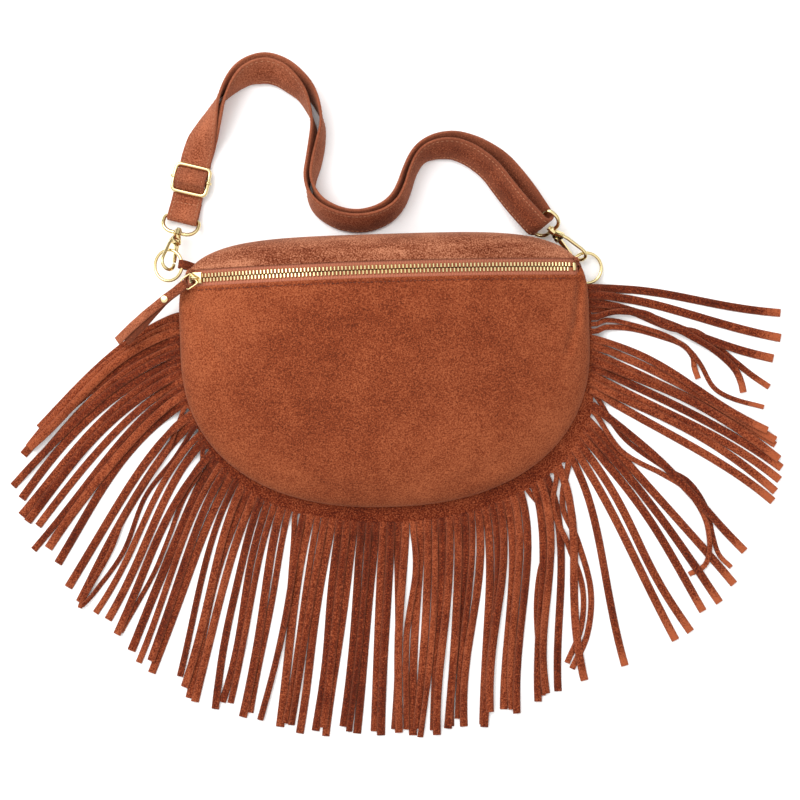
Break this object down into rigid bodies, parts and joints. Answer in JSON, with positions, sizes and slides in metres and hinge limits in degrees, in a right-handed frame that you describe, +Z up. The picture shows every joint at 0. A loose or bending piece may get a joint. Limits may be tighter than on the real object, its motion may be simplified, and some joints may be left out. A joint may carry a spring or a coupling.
{
  "type": "fringed suede bag",
  "caption": "Half-moon suede bag lying on its back, with a zip along the top, a long cut fringe round its edge and a doubled strap held by two swivel clasps.",
  "frame": {"origin": "middle of the flat part of the back panel, on the surface that the bag lies on", "axes": "+X along the zip towards the zip's end box as the bag lies with the fringe nearest, +Y from the fringe towards the strap, +Z up out of the front panel"},
  "size_m": [0.6857, 0.5937, 0.0608],
  "materials": {
    "suede": "napped suede, reddish tan, mottled",
    "suede_light": "the same suede where it catches the light",
    "suede_dark": "the same suede, darker",
    "zip_tape": "woven tape, terracotta",
    "metal": "polished, pale gold plating"
  },
  "bodies": {
    "bag": {"front_panel": "suede", "top_yoke": "suede_light", "back_panel": "suede", "zip_tape_lower": "zip_tape", "zip_tape_upper": "zip_tape", "zip_teeth_lower": "metal", "zip_teeth_upper": "metal", "zip_end_stop": "metal", "ring_tab_left": "suede_dark", "ring_tab_right": "suede_dark", "buckle_frame": "metal", "buckle_bar": "metal", "strap": "suede", "fringe_left": "suede_dark", "fringe_lower_left": "suede_dark", "fringe_lower_right": "suede_dark", "fringe_right": "suede_dark"},
    "slider": {"zip_slider": "metal"},
    "pull_link": {"pull_link": "metal"},
    "pull": {"pull_tab": "suede", "pull_rivet": "metal"},
    "ring_left": {"ring_left": "metal"},
    "ring_right": {"ring_right": "metal"},
    "eye_left": {"clasp_eye_left": "metal"},
    "eye_right": {"clasp_eye_right": "metal"},
    "hook_left": {"clasp_hook_left": "metal", "clasp_pin_left": "metal"},
    "hook_right": {"clasp_hook_right": "metal", "clasp_pin_right": "metal"},
    "gate_left": {"clasp_gate_left": "metal"},
    "gate_right": {"clasp_gate_right": "metal"}
  },
  "joints": [
    {"name": "zip_run", "type": "hinge", "parent": "bag", "child": "slider", "pos_m": [0, 0.0825, -0.347], "axis": [0, 1, 0], "range_deg": [0, 44.5]},
    {"name": "pull_link_turn", "type": "hinge", "parent": "slider", "child": "pull_link", "pos_m": [-0.15641, 0.0825, 0.03053], "axis": [-0.5875, 0.8012, -0.1138], "range_deg": [0, 120]},
    {"name": "pull_turn", "type": "hinge", "parent": "pull_link", "child": "pull", "pos_m": [-0.16483, 0.07665, 0.03279], "axis": [-0.558, 0.8214, -0.1183], "range_deg": [0, 60]},
    {"name": "ring_left_turn", "type": "hinge", "parent": "bag", "child": "ring_left", "pos_m": [-0.16702, 0.0945, 0.02479], "axis": [0, -1, 0], "range_deg": [-8, 5]},
    {"name": "ring_right_turn", "type": "hinge", "parent": "bag", "child": "ring_right", "pos_m": [0.15972, 0.0825, 0.00699], "axis": [0, 1, 0], "range_deg": [-11, 8]},
    {"name": "eye_left_turn", "type": "hinge", "parent": "bag", "child": "eye_left", "pos_m": [-0.16807, 0.1354, 0.0044], "axis": [0.9669, -0.255, 0], "range_deg": [-1.5, 2.4]},
    {"name": "eye_right_turn", "type": "hinge", "parent": "bag", "child": "eye_right", "pos_m": [0.13209, 0.12423, 0.01646], "axis": [0.5443, 0.3927, 0.7413], "range_deg": [-2.2, 2.2]},
    {"name": "hook_left_swivel", "type": "hinge", "parent": "eye_left", "child": "hook_left", "pos_m": [-0.17152, 0.12229, 0.01191], "axis": [0.223, 0.8457, -0.4848], "range_deg": [-10, 40]},
    {"name": "hook_right_swivel", "type": "hinge", "parent": "eye_right", "child": "hook_right", "pos_m": [0.1435, 0.1142, 0.0134], "axis": [-0.7362, 0.6473, 0.1976], "range_deg": [-20, 13]},
    {"name": "gate_left_turn", "type": "hinge", "parent": "hook_left", "child": "gate_left", "pos_m": [-0.17186, 0.11459, 0.01441], "axis": [-0.7388, -0.1779, -0.65], "range_deg": [0, 6], "stiffness_Nm_per_rad": 0.004, "springref_deg": -6.88},
    {"name": "gate_right_turn", "type": "hinge", "parent": "hook_right", "child": "gate_right", "pos_m": [0.14803, 0.10827, 0.01025], "axis": [-0.3948, -0.6479, 0.6514], "range_deg": [0, 20], "stiffness_Nm_per_rad": 0.004, "springref_deg": -6.88}
  ]
}
